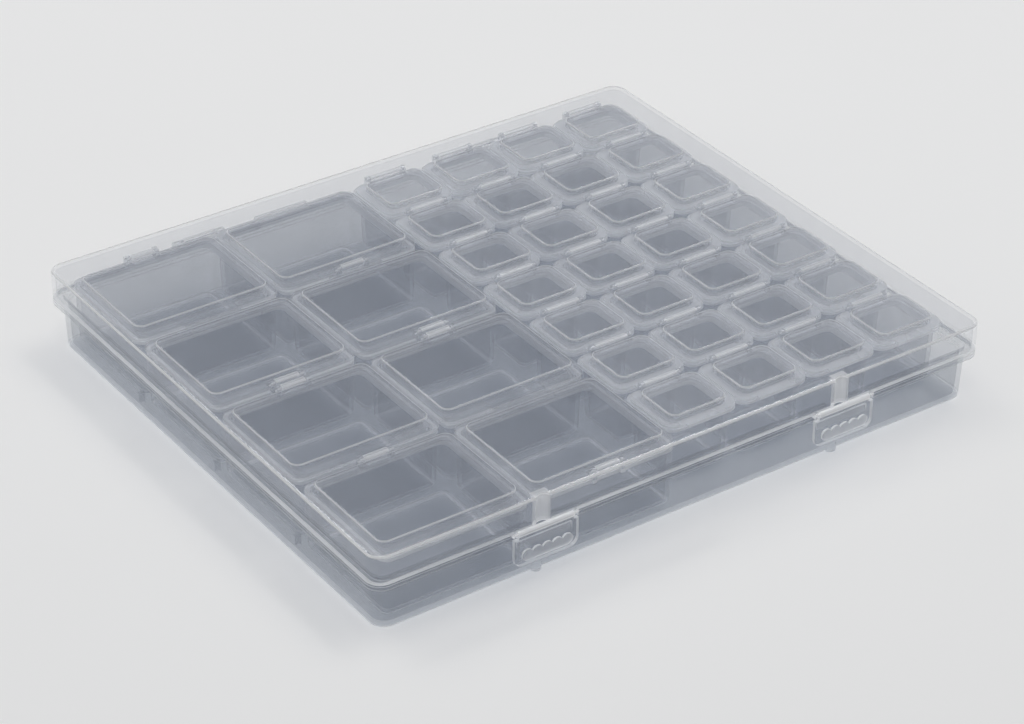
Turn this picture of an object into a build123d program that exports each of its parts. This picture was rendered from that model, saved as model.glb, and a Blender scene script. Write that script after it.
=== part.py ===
# Compartment storage box: a clear hinged case holding eight large lidded boxes and seven
# strips of four small lidded compartments. Millimetres, Z up, front (latch side) at -Y,
# origin at the bottom centre of the bounding box.
from build123d import *
import math
import os

os.makedirs("parts", exist_ok=True)

# Case
case_length = 220.0
case_depth = 188.0
case_height = 27.0
seam_height = 17.0
corner_radius = 5.0
case_wall = 1.2
rim_thickness = 1.7
rim_overhang = 2.3
tray_draft = 0.6
tray_edge_radius = 0.8
lip_height = 1.4
lip_thickness = 1.3
lid_edge_radius = 1.2

# Clearances
part_gap = 0.3
seat_gap = 0.05
pin_gap = 0.05
ceiling_gap = 0.8

# Case hinge: rods on the tray, clips on the lid
hinge_offset = 2.2
hinge_spacing = 108.0
hinge_rod_radius = 1.0
hinge_lug_radius = 1.95
hinge_lug_width = 3.0
hinge_rod_length = 12.0
clip_mouth_angle = 100.0

# Latches
latch_spacing = 108.0
latch_width = 22.0
latch_lug_width = 1.2
latch_barrel_radius = 0.9
latch_lug_radius = 1.0
latch_stub_radius = 0.5
latch_axis_reach = 1.5
latch_axis_height = seam_height + 1.05
latch_bottom = 7.2
latch_standoff = 1.0
latch_thickness = 1.1
latch_corner_radius = 3.0
hook_height = 1.2
grip_scallops = 5
grip_scallop_radius = 1.9
grip_scallop_pitch = 3.4
grip_relief = 0.7
finger_groove_radius = 2.4
finger_groove_depth = 1.6
finger_groove_wall = 1.0
tray_rib_radius = 1.8
tray_rib_relief = 0.8

# Layout of the inner boxes, measured from the left and front faces of the case
large_start_x = 5.0
large_start_y = 4.0
large_pitch_x = 51.5
large_pitch_y = 45.0
large_rows = "abcd"
large_columns = 2
front_hinged = ("a2", "c1", "c2", "d2")
small_start_x = 109.0
small_start_y = 10.2
small_pitch_x = 26.5
small_pitch_y = 24.9
small_rows = 7
small_columns = 4

# Heights shared by every inner box
box_rim_height = 21.5
box_floor = 1.1
lid_panel_top = case_height - case_wall - ceiling_gap
lid_panel_thickness = 1.0
skirt_depth = 1.3
tab_corner_radius = 0.6
panel_edge_radius = 0.7

# Large box and its lid
large_inset = 1.0
large_wall = 1.1
large_draft = 0.45
large_rim_radius = 4.0
large_corner_radius = 3.2
large_edge_radius = 2.5
large_floor_radius = 1.2
large_flange = 1.0
large_panel_inset_x = 2.4
large_panel_inset_y = 4.3
large_panel_radius = 3.0
large_tab_width = 19.5
large_tab_relief = 0.5
large_axis_inset = 1.75
large_ear_radius = 1.5
large_ear_width = 1.3
large_ear_span = 11.3
large_skirt_wall = 0.9
large_barrel_radius = 1.25
large_stub_radius = 0.8

# Small compartment and its lid
small_inset_front = 1.4
small_inset_back = 0.25
small_rim_flange = 0.9
small_rim_overhang = 1.5
small_wall = 1.0
small_draft = 0.9
small_rim_radius = 4.2
small_corner_radius = 3.0
small_edge_radius = 2.5
small_floor_radius = 1.0
small_flange = 0.9
small_panel_inset_x = 2.8
small_panel_front = 3.5
small_panel_back = 4.3
small_panel_radius = 3.0
small_tab_width = 14.2
small_axis_inset = 1.45
small_ear_radius = 1.2
small_ear_width = 1.1
small_ear_span = 14.6
small_skirt_wall = 0.8
small_barrel_radius = 1.0
small_stub_radius = 0.6

# Locating ribs on the left wall of the tray
locating_rib_thickness = 1.0
locating_rib_reach = 2.6
locating_rib_height = 4.0

# Positions that follow from the sizes above
latch_reach = latch_axis_reach + latch_barrel_radius
latch_face = latch_standoff + latch_thickness
front_reach = max(latch_reach, latch_face + grip_relief)
back_reach = hinge_offset + hinge_lug_radius
left_x = -case_length / 2
front_y = (front_reach - back_reach - case_depth) / 2
back_y = front_y + case_depth
middle_y = (front_y + back_y) / 2
lid_bottom = seam_height + part_gap
lip_inset = case_wall + part_gap
hinge_y = back_y + hinge_offset
box_bottom = case_wall + seat_gap
flange_bottom = box_rim_height + part_gap


def rounded_block(length, depth, radius, bottom, top, y=0.0):
    """A straight-sided block with rounded vertical corners."""
    with BuildPart() as block:
        with BuildSketch(Plane.XY.offset(bottom)):
            with Locations((0, y)):
                RectangleRounded(length, depth, radius)
        extrude(amount=top - bottom)
    return block.part


def drafted_tub(length, depth, radius, draft, bottom, top, edge_radius, y=0.0):
    """A block that narrows by the draft on each side towards its rounded bottom edge."""
    with BuildPart() as tub:
        with BuildSketch(Plane.XY.offset(bottom)):
            with Locations((0, y)):
                RectangleRounded(length - 2 * draft, depth - 2 * draft, radius - draft / 2)
        with BuildSketch(Plane.XY.offset(top)):
            with Locations((0, y)):
                RectangleRounded(length, depth, radius)
        loft()
        fillet(tub.faces().sort_by(Axis.Z)[0].edges(), edge_radius)
    return tub.part


def ear(axis_y, axis_z, radius, hole_radius, width, x, foot_z):
    """A hinge ear in the YZ plane, round at the top and standing on a foot, with its bore."""
    with BuildPart() as lug:
        with BuildSketch(Plane.YZ.offset(x - width / 2)):
            with Locations((axis_y, axis_z)):
                Circle(radius)
            with Locations((axis_y, (axis_z + foot_z) / 2)):
                Rectangle(2 * radius, axis_z - foot_z)
            with Locations((axis_y, axis_z)):
                Circle(hole_radius, mode=Mode.SUBTRACT)
        extrude(amount=width)
    return lug.part


def rod(axis_y, axis_z, radius, length, x=0.0):
    """A round bar along X, centred on x."""
    with BuildPart() as bar:
        with BuildSketch(Plane.YZ.offset(x - length / 2)):
            with Locations((axis_y, axis_z)):
                Circle(radius)
        extrude(amount=length)
    return bar.part


def box_lid(sizes):
    """A pan-shaped lid with flange, sealing skirt, thumb tab and hinge tongue on the +Y side."""
    flange_top = flange_bottom + sizes["flange"]
    flange_depth = sizes["axis_y"] - sizes["flange_front"]
    flange_y = (sizes["axis_y"] + sizes["flange_front"]) / 2
    panel_y = (sizes["panel_front"] + sizes["panel_back"]) / 2
    panel_depth = sizes["panel_back"] - sizes["panel_front"]
    wall = lid_panel_thickness
    ear_gap = sizes["ear_span"] / 2 + part_gap
    tongue_width = sizes["ear_span"] - 2 * sizes["ear_width"] - 2 * part_gap
    skirt_width = sizes["skirt_back"] - sizes["skirt_front"]
    slot_height = 2 * (skirt_depth + sizes["flange"])

    with BuildPart() as lid:
        add(
            rounded_block(
                sizes["length"],
                flange_depth,
                sizes["corner_radius"],
                flange_bottom,
                flange_top,
                flange_y,
            )
        )
        with BuildSketch(Plane.XY.offset(flange_bottom)):
            with Locations((0, (sizes["tab_front"] + sizes["panel_front"]) / 2)):
                Rectangle(sizes["tab_width"], sizes["panel_front"] - sizes["tab_front"])
        extrude(amount=sizes["tab_thickness"])
        fillet(lid.edges().filter_by(Axis.Z).group_by(Axis.Y)[0], tab_corner_radius)

        # Sealing skirt that drops into the box
        with BuildSketch(Plane.XY.offset(flange_bottom - skirt_depth - part_gap)):
            with Locations((0, (sizes["skirt_front"] + sizes["skirt_back"]) / 2)):
                RectangleRounded(sizes["skirt_length"], skirt_width, sizes["panel_radius"])
                RectangleRounded(
                    sizes["skirt_length"] - 2 * sizes["skirt_wall"],
                    skirt_width - 2 * sizes["skirt_wall"],
                    sizes["panel_radius"] - sizes["skirt_wall"] / 2,
                    mode=Mode.SUBTRACT,
                )
        extrude(amount=skirt_depth + part_gap + sizes["flange"] / 2)

        # Slots in the flange and skirt round the two hinge ears and the tongue
        with Locations((0, sizes["axis_y"], flange_bottom)):
            Box(
                2 * ear_gap,
                2 * (sizes["ear_radius"] + part_gap),
                slot_height,
                mode=Mode.SUBTRACT,
            )

        # Raised panel
        add(
            rounded_block(
                sizes["panel_length"],
                panel_depth,
                sizes["panel_radius"],
                flange_bottom,
                lid_panel_top,
                panel_y,
            )
        )
        fillet(lid.faces().sort_by(Axis.Z)[-1].edges(), panel_edge_radius)
        add(
            rounded_block(
                sizes["panel_length"] - 2 * wall,
                panel_depth - 2 * wall,
                sizes["panel_radius"] - wall / 2,
                flange_bottom - skirt_depth,
                lid_panel_top - wall,
                panel_y,
            ),
            mode=Mode.SUBTRACT,
        )

        # Hinge tongue, barrel and the two stub pins
        with BuildSketch(Plane.YZ.offset(-tongue_width / 2)):
            with Locations((sizes["axis_y"], sizes["axis_z"])):
                Circle(sizes["barrel_radius"])
            with Locations(
                (
                    (sizes["axis_y"] + sizes["panel_back"] - wall / 2) / 2,
                    (flange_bottom + sizes["axis_z"]) / 2,
                )
            ):
                Rectangle(
                    sizes["axis_y"] - sizes["panel_back"] + wall / 2,
                    sizes["axis_z"] - flange_bottom,
                )
        extrude(amount=tongue_width)
        add(rod(sizes["axis_y"], sizes["axis_z"], sizes["stub_radius"], sizes["ear_span"]))
    return lid.part


def export_piece(part, name):
    """Labels one piece and writes it to its own STEP file."""
    part.label = name
    export_step(part, f"parts/{name}.step")


# Case tray with its rim, lip, locating ribs and hinge rods
latch_centres = (-latch_spacing / 2, latch_spacing / 2)
hinge_centres = (-hinge_spacing / 2, hinge_spacing / 2)

with BuildPart() as case_tray:
    add(
        drafted_tub(
            case_length - 2 * rim_overhang,
            case_depth - 2 * rim_overhang,
            corner_radius,
            tray_draft,
            0,
            seam_height - rim_thickness / 2,
            tray_edge_radius,
            middle_y,
        )
    )
    latch_rib_y = front_y + rim_overhang + tray_rib_radius - tray_rib_relief
    with BuildSketch(Plane.XY):
        with Locations([(x, latch_rib_y) for x in latch_centres]):
            Circle(tray_rib_radius)
    extrude(amount=seam_height - rim_thickness)
    add(
        rounded_block(
            case_length,
            case_depth,
            corner_radius,
            seam_height - rim_thickness,
            seam_height,
            middle_y,
        )
    )
    add(
        rounded_block(
            case_length - 2 * lip_inset,
            case_depth - 2 * lip_inset,
            corner_radius - lip_inset,
            seam_height,
            seam_height + lip_height,
            middle_y,
        )
    )
    add(
        drafted_tub(
            case_length - 2 * (rim_overhang + case_wall),
            case_depth - 2 * (rim_overhang + case_wall),
            corner_radius - case_wall / 2,
            tray_draft,
            case_wall,
            seam_height + lip_height,
            tray_edge_radius / 2,
            middle_y,
        ),
        mode=Mode.SUBTRACT,
    )
    add(
        rounded_block(
            case_length - 2 * (lip_inset + lip_thickness),
            case_depth - 2 * (lip_inset + lip_thickness),
            corner_radius - lip_inset,
            seam_height,
            seam_height + lip_height,
            middle_y,
        ),
        mode=Mode.SUBTRACT,
    )

    # Gaps in the lip where the finger grooves of the lid come down
    groove_reach = finger_groove_radius + finger_groove_wall + 2 * part_gap
    with Locations([(x, front_y, seam_height + lip_height / 2) for x in latch_centres]):
        lip_reach = lip_inset + lip_thickness + part_gap
        Box(2 * groove_reach, 2 * lip_reach, lip_height, mode=Mode.SUBTRACT)

    # Locating ribs between the rows of large boxes
    rib_start_x = left_x + rim_overhang + case_wall
    for boundary in range(1, len(large_rows)):
        rib_y = front_y + large_start_y + boundary * large_pitch_y
        rib_x = rib_start_x + locating_rib_reach / 2
        with Locations((rib_x, rib_y, case_wall + locating_rib_height / 2)):
            Box(locating_rib_reach, locating_rib_thickness, locating_rib_height)

    # Hinge lugs and rods at the back
    lug_centre = (hinge_rod_length + hinge_lug_width) / 2
    for x in hinge_centres:
        for side in (-1, 1):
            with BuildSketch(Plane.YZ.offset(x + side * lug_centre - hinge_lug_width / 2)):
                with Locations((hinge_y, seam_height)):
                    Circle(hinge_lug_radius)
                with Locations((hinge_y - hinge_offset / 2, seam_height - rim_thickness / 2)):
                    Rectangle(hinge_offset + case_wall, rim_thickness)
            extrude(amount=hinge_lug_width)
        add(rod(hinge_y, seam_height, hinge_rod_radius, hinge_rod_length + hinge_lug_width, x))
export_piece(case_tray.part, "case_tray")

# Case lid with finger grooves, latch lugs and hinge clips
with BuildPart() as case_lid:
    add(rounded_block(case_length, case_depth, corner_radius, lid_bottom, case_height, middle_y))
    fillet(case_lid.faces().sort_by(Axis.Z)[-1].edges(), lid_edge_radius)
    add(
        rounded_block(
            case_length - 2 * case_wall,
            case_depth - 2 * case_wall,
            corner_radius - case_wall,
            lid_bottom,
            case_height - case_wall,
            middle_y,
        ),
        mode=Mode.SUBTRACT,
    )

    # Finger grooves: a round backing inside the wall, then the groove from outside
    groove_y = front_y + finger_groove_depth - finger_groove_radius
    with BuildSketch(Plane.XY.offset(lid_bottom)):
        with Locations([(x, groove_y) for x in latch_centres]):
            Circle(finger_groove_radius + finger_groove_wall)
        with Locations((0, front_y - case_depth / 2 + case_wall / 2)):
            Rectangle(case_length, case_depth, mode=Mode.SUBTRACT)
    extrude(amount=case_height - case_wall - lid_bottom)
    with BuildSketch(Plane.XY.offset(lid_bottom)):
        with Locations([(x, groove_y) for x in latch_centres]):
            Circle(finger_groove_radius)
    extrude(amount=case_height - lid_bottom, mode=Mode.SUBTRACT)

    # Lugs that hold the latch stubs
    latch_y = front_y - latch_axis_reach
    for x in latch_centres:
        for side in (-1, 1):
            lug_x = x + side * (latch_width - latch_lug_width) / 2
            with BuildSketch(Plane.YZ.offset(lug_x - latch_lug_width / 2)):
                with Locations((latch_y, latch_axis_height)):
                    Circle(latch_lug_radius)
                arm_y = (latch_y + front_y + case_wall / 2) / 2
                with Locations((arm_y, latch_axis_height + part_gap / 2)):
                    Rectangle(latch_axis_reach + case_wall / 2, 2 * latch_lug_radius - part_gap)
                with Locations((latch_y, latch_axis_height)):
                    Circle(latch_stub_radius + pin_gap, mode=Mode.SUBTRACT)
            extrude(amount=latch_lug_width)

    # Clips that snap over the hinge rods
    clip_width = hinge_rod_length - 2 * part_gap
    mouth_reach = 3 * hinge_lug_radius
    mouth_half = math.radians(clip_mouth_angle / 2)
    for x in hinge_centres:
        with BuildSketch(Plane.YZ.offset(x - clip_width / 2)):
            with Locations((hinge_y, seam_height)):
                Circle(hinge_lug_radius)
            arm_height = seam_height + hinge_lug_radius / 2 + part_gap
            with Locations((hinge_y - hinge_offset / 2, arm_height)):
                Rectangle(hinge_offset + case_wall, hinge_lug_radius)
            with Locations((hinge_y, seam_height)):
                Circle(hinge_rod_radius + pin_gap, mode=Mode.SUBTRACT)
            with BuildLine():
                Polyline(
                    (hinge_y, seam_height),
                    (
                        hinge_y + mouth_reach * math.sin(mouth_half),
                        seam_height - mouth_reach * math.cos(mouth_half),
                    ),
                    (
                        hinge_y - mouth_reach * math.sin(mouth_half),
                        seam_height - mouth_reach * math.cos(mouth_half),
                    ),
                    close=True,
                )
            make_face(mode=Mode.SUBTRACT)
        extrude(amount=clip_width)
export_piece(case_lid.part, "case_lid")

# Latches
for x, name in zip(latch_centres, ("latch_left", "latch_right")):
    barrel_length = latch_width - 2 * (latch_lug_width + part_gap)
    plate_top = latch_axis_height - latch_lug_radius - 2 * part_gap
    plate_y = front_y - latch_standoff
    with BuildPart() as latch:
        # The sketch plane looks at the front of the latch, so its outward side is -Y
        front = Plane(origin=(x, plate_y, 0), x_dir=(1, 0, 0), z_dir=(0, -1, 0))
        with BuildSketch(front):
            with Locations((0, (latch_bottom + plate_top) / 2)):
                RectangleRounded(latch_width, plate_top - latch_bottom, latch_corner_radius)
            with Locations((0, plate_top - latch_corner_radius / 2)):
                Rectangle(latch_width, latch_corner_radius)
            with Locations((0, (plate_top + latch_axis_height) / 2)):
                Rectangle(barrel_length, latch_axis_height - plate_top)
        extrude(amount=latch_thickness)
        add(rod(front_y - latch_axis_reach, latch_axis_height, latch_barrel_radius, barrel_length, x))
        add(rod(front_y - latch_axis_reach, latch_axis_height, latch_stub_radius, latch_width, x))

        # Hook behind the plate, just under the rim of the tray
        hook_top = seam_height - rim_thickness - part_gap
        with BuildSketch(Plane.YZ.offset(x - barrel_length / 2)):
            with BuildLine():
                Polyline(
                    (plate_y - latch_thickness / 2, hook_top),
                    (front_y - part_gap, hook_top),
                    (front_y - part_gap, hook_top - hook_height / 2),
                    (plate_y, hook_top - 2 * hook_height),
                    (plate_y - latch_thickness / 2, hook_top - 2 * hook_height),
                    close=True,
                )
            make_face()
        extrude(amount=barrel_length)

        # Scalloped finger grip on the outside
        grip_z = (latch_bottom + plate_top) / 2 - grip_scallop_radius / 2
        outside = Plane(origin=(x, plate_y - latch_thickness, 0), x_dir=(1, 0, 0), z_dir=(0, -1, 0))
        with BuildSketch(outside):
            with Locations((0, grip_z)):
                with GridLocations(grip_scallop_pitch, 0, grip_scallops, 1):
                    Circle(grip_scallop_radius)
            with Locations((0, grip_z - grip_scallop_radius / 2)):
                Rectangle((grip_scallops - 1) * grip_scallop_pitch, grip_scallop_radius)
        extrude(amount=grip_relief)
    export_piece(latch.part, name)

# Large box, hinged on its +Y side
large_axis_y = large_pitch_y / 2 - large_axis_inset
large_axis_z = lid_panel_top - large_ear_radius
large_length = large_pitch_x - 2 * large_inset
large_depth = large_pitch_y - 2 * large_inset

with BuildPart() as large_box:
    add(
        drafted_tub(
            large_length,
            large_depth,
            large_corner_radius,
            large_draft,
            box_bottom,
            box_rim_height,
            large_edge_radius,
        )
    )
    add(
        drafted_tub(
            large_length - 2 * large_wall,
            large_depth - 2 * large_wall,
            large_corner_radius - large_wall / 2,
            large_draft,
            box_bottom + box_floor,
            box_rim_height,
            large_floor_radius,
        ),
        mode=Mode.SUBTRACT,
    )
    for side in (-1, 1):
        add(
            ear(
                large_axis_y,
                large_axis_z,
                large_ear_radius,
                large_stub_radius + pin_gap,
                large_ear_width,
                side * (large_ear_span - large_ear_width) / 2,
                box_rim_height - large_ear_radius,
            )
        )

large_skirt_back = large_depth / 2 - large_wall - part_gap
large_lid = box_lid(
    {
        "length": large_pitch_x - part_gap,
        "flange": large_flange,
        "flange_front": -large_pitch_y / 2 + large_inset,
        "corner_radius": large_rim_radius,
        "tab_front": -large_pitch_y / 2 + part_gap / 2,
        "tab_width": large_tab_width,
        "tab_thickness": large_flange + large_tab_relief,
        "panel_length": large_pitch_x - 2 * large_panel_inset_x,
        "panel_front": -large_pitch_y / 2 + large_panel_inset_y,
        "panel_back": large_pitch_y / 2 - large_panel_inset_y,
        "panel_radius": large_panel_radius,
        "skirt_length": large_length - 2 * (large_wall + part_gap),
        "skirt_front": -large_skirt_back,
        "skirt_back": large_skirt_back,
        "skirt_wall": large_skirt_wall,
        "axis_y": large_axis_y,
        "axis_z": large_axis_z,
        "ear_radius": large_ear_radius,
        "ear_width": large_ear_width,
        "ear_span": large_ear_span,
        "barrel_radius": large_barrel_radius,
        "stub_radius": large_stub_radius,
    }
)

for row, row_name in enumerate(large_rows):
    for column in range(large_columns):
        place = f"{row_name}{column + 1}"
        x = left_x + large_start_x + (column + 0.5) * large_pitch_x
        y = front_y + large_start_y + (row + 0.5) * large_pitch_y
        turn = 180 if place in front_hinged else 0
        with BuildPart() as placed_box:
            with Locations(Location((x, y, 0), (0, 0, turn))):
                add(large_box.part)
        export_piece(placed_box.part, f"large_box_{place}")
        with BuildPart() as placed_lid:
            with Locations(Location((x, y, 0), (0, 0, turn))):
                add(large_lid)
        export_piece(placed_lid.part, f"large_lid_{place}")

# Small compartment, hinged on its +Y side
small_axis_y = small_pitch_y / 2 - small_axis_inset
small_axis_z = lid_panel_top - small_ear_radius
small_front = -small_pitch_y / 2 + small_inset_front
small_back = small_pitch_y / 2 - small_inset_back
small_rim_depth = small_back - small_front
small_middle_y = (small_front + small_back) / 2
small_length = small_pitch_x - 2 * small_rim_overhang
small_depth = small_rim_depth - 2 * small_rim_overhang

with BuildPart() as small_tub:
    add(
        drafted_tub(
            small_length,
            small_depth,
            small_corner_radius,
            small_draft,
            box_bottom,
            box_rim_height,
            small_edge_radius,
            small_middle_y,
        )
    )
    add(
        rounded_block(
            small_pitch_x + 2 * seat_gap,
            small_rim_depth,
            small_rim_radius,
            box_rim_height - small_rim_flange,
            box_rim_height,
            small_middle_y,
        )
    )
    add(
        drafted_tub(
            small_length - 2 * small_wall,
            small_depth - 2 * small_wall,
            small_corner_radius - small_wall / 2,
            small_draft,
            box_bottom + box_floor,
            box_rim_height,
            small_floor_radius,
            small_middle_y,
        ),
        mode=Mode.SUBTRACT,
    )
    for side in (-1, 1):
        add(
            ear(
                small_axis_y,
                small_axis_z,
                small_ear_radius,
                small_stub_radius + pin_gap,
                small_ear_width,
                side * (small_ear_span - small_ear_width) / 2,
                box_rim_height - small_rim_flange / 2,
            )
        )

small_skirt_front = small_middle_y - small_depth / 2 + small_wall + part_gap
small_skirt_back = small_middle_y + small_depth / 2 - small_wall - part_gap
small_lid = box_lid(
    {
        "length": small_pitch_x - part_gap,
        "flange": small_flange,
        "flange_front": small_front,
        "corner_radius": small_rim_radius,
        "tab_front": -small_pitch_y / 2 + part_gap / 2,
        "tab_width": small_tab_width,
        "tab_thickness": small_flange,
        "panel_length": small_pitch_x - 2 * small_panel_inset_x,
        "panel_front": -small_pitch_y / 2 + small_panel_front,
        "panel_back": small_pitch_y / 2 - small_panel_back,
        "panel_radius": small_panel_radius,
        "skirt_length": small_length - 2 * (small_wall + part_gap),
        "skirt_front": small_skirt_front,
        "skirt_back": small_skirt_back,
        "skirt_wall": small_skirt_wall,
        "axis_y": small_axis_y,
        "axis_z": small_axis_z,
        "ear_radius": small_ear_radius,
        "ear_width": small_ear_width,
        "ear_span": small_ear_span,
        "barrel_radius": small_barrel_radius,
        "stub_radius": small_stub_radius,
    }
)

for row in range(small_rows):
    y = front_y + small_start_y + (row + 0.5) * small_pitch_y
    first_x = left_x + small_start_x + small_pitch_x / 2
    columns = [first_x + column * small_pitch_x for column in range(small_columns)]
    with BuildPart() as small_strip:
        with Locations([(x, y, 0) for x in columns]):
            add(small_tub.part)
    export_piece(small_strip.part, f"small_strip_{row + 1}")
    for column, x in enumerate(columns):
        with BuildPart() as placed_lid:
            with Locations((x, y, 0)):
                add(small_lid)
        export_piece(placed_lid.part, f"small_lid_{row + 1}_{column + 1}")
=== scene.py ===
import math

import bpy
from mathutils import Matrix, Vector

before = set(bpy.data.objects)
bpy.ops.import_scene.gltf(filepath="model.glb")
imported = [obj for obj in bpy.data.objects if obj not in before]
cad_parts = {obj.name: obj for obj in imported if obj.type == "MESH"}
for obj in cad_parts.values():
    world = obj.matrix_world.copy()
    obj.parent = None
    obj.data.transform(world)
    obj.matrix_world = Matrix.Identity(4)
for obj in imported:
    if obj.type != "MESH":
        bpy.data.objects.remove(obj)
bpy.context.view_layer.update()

MM = 0.001

# Camera, fitted to the photograph
camera_azimuth = math.radians(-35.16)
camera_elevation = math.radians(32.45)
camera_roll = math.radians(0.59)
camera_distance = 1.034
camera_target = Vector((0.0028, 0.0017, 0.0))
camera_lens = 116.65

# Finger grooves in the front wall of the case lid, with a painted highlight of white milk over each
groove_x = 54 * MM
groove_y = -91.8 * MM
groove_inner_half = 2.3 * MM
groove_outer_half = 3.2 * MM
groove_fade = 0.5 * MM

# Clear plastic
milk_colour = (0.935, 0.938, 0.945, 1)
most_milk = 0.92
translucent_share = 0.4
line_softness = 0.1 * MM
cloud_scale = 45
wave_scale = 160
wave_height = 0.2 * MM
wave_strength = 0.1

# Floor
floor_level = 0.88
floor_half_size = 6.0
floor_drop = 0.1 * MM


def make_camera():
    back = Vector(
        (
            math.sin(camera_azimuth) * math.cos(camera_elevation),
            -math.cos(camera_azimuth) * math.cos(camera_elevation),
            math.sin(camera_elevation),
        )
    )
    right = Vector((math.cos(camera_azimuth), math.sin(camera_azimuth), 0))
    up = back.cross(right)
    turned_right = math.cos(camera_roll) * right + math.sin(camera_roll) * up
    turned_up = math.cos(camera_roll) * up - math.sin(camera_roll) * right
    place = camera_target + camera_distance * back
    matrix = Matrix((turned_right, turned_up, back)).transposed().to_4x4()
    matrix.translation = place
    data = bpy.data.cameras.new("camera")
    data.lens = camera_lens
    data.sensor_width = 36
    data.clip_start = 0.01
    data.clip_end = 50
    camera = bpy.data.objects.new("camera", data)
    camera.matrix_world = matrix
    bpy.context.scene.collection.objects.link(camera)
    bpy.context.scene.camera = camera


def make_softbox(name, place, aim, width, height, power, colour):
    """A rectangular studio light at place that faces aim."""
    data = bpy.data.lights.new(name, "AREA")
    data.shape = "RECTANGLE"
    data.size = width
    data.size_y = height
    data.energy = power
    data.color = colour
    light = bpy.data.objects.new(name, data)
    light.location = place
    light.rotation_mode = "QUATERNION"
    light.rotation_quaternion = (Vector(aim) - Vector(place)).to_track_quat("-Z", "Y")
    bpy.context.scene.collection.objects.link(light)


class Nodes:
    """Builds one material's node tree; a number given where a socket is expected is set as a plain value."""

    def __init__(self, name):
        self.material = bpy.data.materials.new(name)
        self.material.use_nodes = True
        self.tree = self.material.node_tree
        self.tree.nodes.clear()
        self.coordinates = self.add("ShaderNodeTexCoord")

    def add(self, kind, **settings):
        node = self.tree.nodes.new(kind)
        for key, value in settings.items():
            setattr(node, key, value)
        return node

    def feed(self, socket, value):
        if isinstance(value, bpy.types.NodeSocket):
            self.tree.links.new(value, socket)
        else:
            socket.default_value = value

    def sum(self, operation, first, second=0.0, third=0.0, clamp=False):
        node = self.add("ShaderNodeMath", operation=operation, use_clamp=clamp)
        for socket, value in zip(node.inputs, (first, second, third)):
            self.feed(socket, value)
        return node.outputs[0]

    def noise(self, scale, detail=2.0, roughness=0.5, stretch=(1, 1, 1)):
        mapping = self.add("ShaderNodeMapping")
        self.feed(mapping.inputs["Vector"], self.coordinates.outputs["Object"])
        mapping.inputs["Scale"].default_value = stretch
        node = self.add("ShaderNodeTexNoise")
        self.feed(node.inputs["Vector"], mapping.outputs[0])
        node.inputs["Scale"].default_value = scale
        node.inputs["Detail"].default_value = detail
        node.inputs["Roughness"].default_value = roughness
        return node.outputs["Fac"]

    def place(self, axis):
        """The distance along X, Y or Z of the CAD frame, in metres."""
        split = self.add("ShaderNodeSeparateXYZ")
        self.feed(split.inputs[0], self.coordinates.outputs["Object"])
        return split.outputs[axis]

    def ramp(self, value, low, high, from_value=0.0, to_value=1.0):
        """from_value below low, to_value above high, and smooth between."""
        node = self.add("ShaderNodeMapRange", interpolation_type="SMOOTHSTEP")
        for socket, number in zip(node.inputs, (value, low, high, from_value, to_value)):
            self.feed(socket, number)
        return node.outputs[0]

    def band(self, value, low, high, soft):
        """1 between low and high, 0 outside, with soft edges."""
        rise = self.ramp(value, low - soft, low + soft)
        fall = self.ramp(value, high - soft, high + soft, 1.0, 0.0)
        return self.sum("MULTIPLY", rise, fall)

    def away_from(self, axis):
        """0 on faces that look along X, Y or Z of the CAD frame, 1 on faces at right angles to it."""
        split = self.add("ShaderNodeSeparateXYZ")
        self.feed(split.inputs[0], self.coordinates.outputs["Normal"])
        square = self.sum("MULTIPLY", split.outputs[axis], split.outputs[axis])
        return self.sum("SUBTRACT", 1.0, square)

    def fillet(self):
        """1 on edges rounded between a level face and an upright one, 0 on both faces."""
        upright = self.away_from("Z")
        level = self.sum("SUBTRACT", 1.0, upright)
        both = self.sum("MULTIPLY", upright, level)
        return self.sum("POWER", self.sum("MULTIPLY", both, 4.0), 2.0)

    def finish(self, shader):
        output = self.add("ShaderNodeOutputMaterial")
        self.feed(output.inputs["Surface"], shader)
        return self.material


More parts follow.
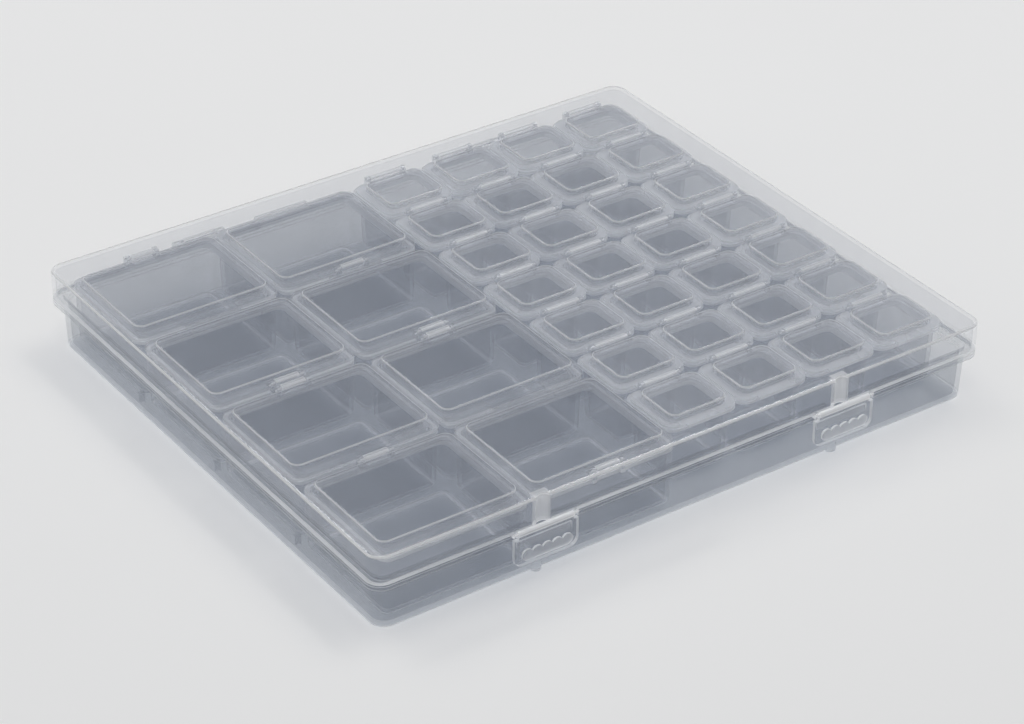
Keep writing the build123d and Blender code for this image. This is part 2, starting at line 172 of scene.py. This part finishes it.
def clear_plastic(
    name, tint, milk, slanted_milk, fillet_highlight, highlight_bands, side_milk_and_highlight=("Z", 0.0), groove_highlight=0.0, gloss=1.0
):
    """Thin clear polypropylene: tinted see-through film, a milky scatter that grows where the wall
    is seen at a slant, white milk on rounded edges as painted highlight lines, and a gloss on top.
    Each band is (axis, low, high, extra milk) in millimetres, a painted highlight line of white milk,
    and the side setting is (axis, extra milk) for faces that look away from that axis, which on the
    latch paints a highlight outline. Light from the lamps passes a plain film."""
    n = Nodes(name)
    weight = n.add("ShaderNodeLayerWeight")
    weight.inputs["Blend"].default_value = 0.5
    facing = weight.outputs["Facing"]

    cloud = n.noise(cloud_scale, detail=2, roughness=0.6, stretch=(1.0, 0.4, 1.0))
    clouding = n.sum("MULTIPLY_ADD", cloud, 1.0, 0.5)
    slant = n.sum("MULTIPLY", n.sum("POWER", facing, 4.0), slanted_milk)
    # painted highlight lines: white milk on edges rounded between a level and an upright face
    edge_highlight = n.sum("MULTIPLY", n.fillet(), fillet_highlight)
    extra = milk
    # painted highlight lines: bands of extra white milk along X, Y or Z
    for axis, low, high, amount in highlight_bands:
        line = n.band(n.place(axis), low * MM, high * MM, line_softness)
        extra = n.sum("MULTIPLY_ADD", line, amount, extra)
    # extra milk on faces that look away from an axis; on the latch it paints a highlight outline
    axis, amount = side_milk_and_highlight
    extra = n.sum("MULTIPLY_ADD", n.away_from(axis), amount, extra)
    # painted highlight: white milk over each finger groove at the front of the case lid
    if groove_highlight:
        from_groove = n.sum("ABSOLUTE", n.sum("SUBTRACT", n.sum("ABSOLUTE", n.place("X")), groove_x))
        beside = n.ramp(from_groove, groove_inner_half, groove_outer_half, groove_highlight, 0.0)
        in_front = n.ramp(n.place("Y"), groove_y, groove_y + groove_fade, 1.0, 0.0)
        extra = n.sum("MULTIPLY_ADD", beside, in_front, extra)
    total = n.sum("ADD", n.sum("MULTIPLY", extra, clouding), n.sum("ADD", slant, edge_highlight))
    total = n.sum("MINIMUM", total, most_milk)

    bump = n.add("ShaderNodeBump")
    bump.inputs["Strength"].default_value = wave_strength
    bump.inputs["Distance"].default_value = wave_height
    n.feed(bump.inputs["Height"], n.noise(wave_scale, detail=1))

    film = n.add("ShaderNodeBsdfTransparent")
    film.inputs["Color"].default_value = (*tint, 1)
    scatter = n.add("ShaderNodeBsdfDiffuse")
    scatter.inputs["Color"].default_value = milk_colour
    glow = n.add("ShaderNodeBsdfTranslucent")
    glow.inputs["Color"].default_value = milk_colour
    milky = n.add("ShaderNodeMixShader")
    milky.inputs[0].default_value = translucent_share
    n.feed(milky.inputs[1], scatter.outputs[0])
    n.feed(milky.inputs[2], glow.outputs[0])
    wall = n.add("ShaderNodeMixShader")
    n.feed(wall.inputs[0], total)
    n.feed(wall.inputs[1], film.outputs[0])
    n.feed(wall.inputs[2], milky.outputs[0])

    mirror = n.add("ShaderNodeBsdfGlossy")
    mirror.inputs["Color"].default_value = (1, 1, 1, 1)
    n.feed(mirror.inputs["Roughness"], n.sum("MULTIPLY_ADD", cloud, 0.06, 0.05))
    n.feed(mirror.inputs["Normal"], bump.outputs[0])
    schlick = n.sum("MULTIPLY_ADD", n.sum("POWER", facing, 5.0), 0.6 * gloss, 0.03 * gloss)
    outside = n.sum("SUBTRACT", 1.0, n.add("ShaderNodeNewGeometry").outputs["Backfacing"])
    surface = n.add("ShaderNodeMixShader")
    n.feed(surface.inputs[0], n.sum("MULTIPLY", schlick, outside))
    n.feed(surface.inputs[1], wall.outputs[0])
    n.feed(surface.inputs[2], mirror.outputs[0])

    lamp_film = n.add("ShaderNodeBsdfTransparent")
    lamp_film.inputs["Color"].default_value = (*tint, 1)
    choice = n.add("ShaderNodeMixShader")
    n.feed(choice.inputs[0], n.add("ShaderNodeLightPath").outputs["Is Shadow Ray"])
    n.feed(choice.inputs[1], surface.outputs[0])
    n.feed(choice.inputs[2], lamp_film.outputs[0])
    return n.finish(choice.outputs[0])


def pale_floor():
    n = Nodes("floor_paper")
    paper = n.noise(6, detail=4)
    level = n.sum("MULTIPLY_ADD", paper, 0.02, floor_level)
    mixed = n.add("ShaderNodeCombineColor")
    for socket in mixed.inputs:
        n.feed(socket, level)
    shader = n.add("ShaderNodeBsdfPrincipled")
    n.feed(shader.inputs["Base Color"], mixed.outputs[0])
    shader.inputs["Roughness"].default_value = 0.85
    return n.finish(shader.outputs[0])


def make_floor():
    half = floor_half_size
    corners = [(-half, -half), (half, -half), (half, half), (-half, half)]
    mesh = bpy.data.meshes.new("floor")
    mesh.from_pydata([(x, y, -floor_drop) for x, y in corners], [], [(0, 1, 2, 3)])
    floor = bpy.data.objects.new("floor", mesh)
    mesh.materials.append(pale_floor())
    bpy.context.scene.collection.objects.link(floor)


def make_world():
    """Soft light from all sides, brighter overhead than at the horizon."""
    world = bpy.data.worlds.new("studio")
    world.use_nodes = True
    tree = world.node_tree
    background = tree.nodes["Background"]
    coordinates = tree.nodes.new("ShaderNodeTexCoord")
    split = tree.nodes.new("ShaderNodeSeparateXYZ")
    ramp = tree.nodes.new("ShaderNodeMapRange")
    tree.links.new(coordinates.outputs["Generated"], split.inputs[0])
    tree.links.new(split.outputs["Z"], ramp.inputs["Value"])
    ramp.inputs["From Min"].default_value = 0.0
    ramp.inputs["From Max"].default_value = 1.0
    ramp.inputs["To Min"].default_value = 0.12
    ramp.inputs["To Max"].default_value = 0.45
    tree.links.new(ramp.outputs[0], background.inputs["Strength"])
    background.inputs["Color"].default_value = (0.975, 0.985, 1.0, 1)
    bpy.context.scene.world = world


make_camera()
make_floor()
make_world()
make_softbox("right_light", (0.8, 0.0, 1.3), (0, 0, 0), 0.9, 0.25, 7, (1.0, 1.0, 1.0))
make_softbox("back_light", (-0.25, 1.1, 1.2), (0, 0, 0), 0.8, 0.25, 5.5, (1.0, 1.0, 1.0))
make_softbox("left_light", (-1.5, 0.2, 0.8), (0, 0, 0), 1.0, 0.8, 3.2, (1.0, 0.99, 0.98))
make_softbox("top_light", (-0.35, -0.45, 1.3), (0, 0, 0), 0.14, 0.14, 1.8, (1.0, 1.0, 1.0))

# Painted highlight lines, drawn as bands of extra white milk: edges of the case and its seam, rims of
# the inner boxes, flanges and panel edges of their lids, and the barrel and grip of a latch
tray_lines = [("Z", 0.25, 0.8, 0.5), ("Z", 15.45, 15.7, 0.5), ("Z", 16.6, 16.85, 0.5)]
case_lid_lines = [("Z", 17.25, 17.5, 0.7), ("Z", 17.5, 18.8, 0.06), ("Z", 26.1, 26.75, 0.35)]
box_rim = ("Z", 20.3, 21.6)
lid_flange = ("Z", 20.0, 22.8)
panel_edge = ("Z", 24.4, 24.85, 0.45)
latch_lines = [("Z", 17.1, 19.0, 0.35), ("Y", -97.6, -96.95, 0.3)]

box_tint = (0.918, 0.924, 0.934)
# In each look the rounded-edge, band and groove settings paint highlights in white milk
looks = {
    "case_lid": {
        "tint": (0.962, 0.965, 0.971),
        "milk": 0.006,
        "slanted_milk": 0.12,
        "fillet_highlight": 0.9,
        "highlight_bands": case_lid_lines,
        # painted highlight over the finger grooves
        "groove_highlight": 0.45,
    },
    "case_tray": {
        "tint": (0.88, 0.888, 0.9),
        "milk": 0.012,
        "slanted_milk": 0.12,
        "fillet_highlight": 0.9,
        "highlight_bands": tray_lines,
    },
    "latch": {
        "tint": box_tint,
        "milk": 0.05,
        "slanted_milk": 0.3,
        "fillet_highlight": 0.6,
        "highlight_bands": latch_lines,
        # painted highlight outline: white milk on the latch's faces that look away from Y
        "side_milk_and_highlight": ("Y", 0.6),
    },
    "large_box": {
        "tint": box_tint,
        "milk": 0.012,
        "slanted_milk": 0.4,
        "fillet_highlight": 0.4,
        "highlight_bands": [(*box_rim, 0.4)],
        "side_milk_and_highlight": ("Z", 0.05),
        "gloss": 0.5,
    },
    "large_lid": {
        "tint": box_tint,
        "milk": 0.014,
        "slanted_milk": 0.25,
        "fillet_highlight": 0.9,
        "highlight_bands": [(*lid_flange, 0.18), panel_edge],
        "side_milk_and_highlight": ("Z", 0.1),
        "gloss": 0.7,
    },
    "small_strip": {
        "tint": box_tint,
        "milk": 0.02,
        "slanted_milk": 0.4,
        "fillet_highlight": 0.3,
        "highlight_bands": [(*box_rim, 0.3)],
        "side_milk_and_highlight": ("Z", 0.05),
        "gloss": 0.5,
    },
    "small_lid": {
        "tint": box_tint,
        "milk": 0.08,
        "slanted_milk": 0.3,
        "fillet_highlight": 0.9,
        "highlight_bands": [(*lid_flange, 0.16), panel_edge],
        "side_milk_and_highlight": ("Z", 0.12),
        "gloss": 0.7,
    },
}
plastics = {kind: clear_plastic(f"{kind}_plastic", **look) for kind, look in looks.items()}

for name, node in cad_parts.items():
    kind = next(kind for kind in plastics if name.startswith(kind))
    if not node.material_slots:
        node.data.materials.append(None)
    for slot in node.material_slots:
        slot.material = plastics[kind]

cycles = bpy.context.scene.cycles
cycles.max_bounces = 4
cycles.diffuse_bounces = 2
cycles.glossy_bounces = 2
cycles.transmission_bounces = 2
cycles.transparent_max_bounces = 96
bpy.context.scene.view_settings.view_transform = "Standard"
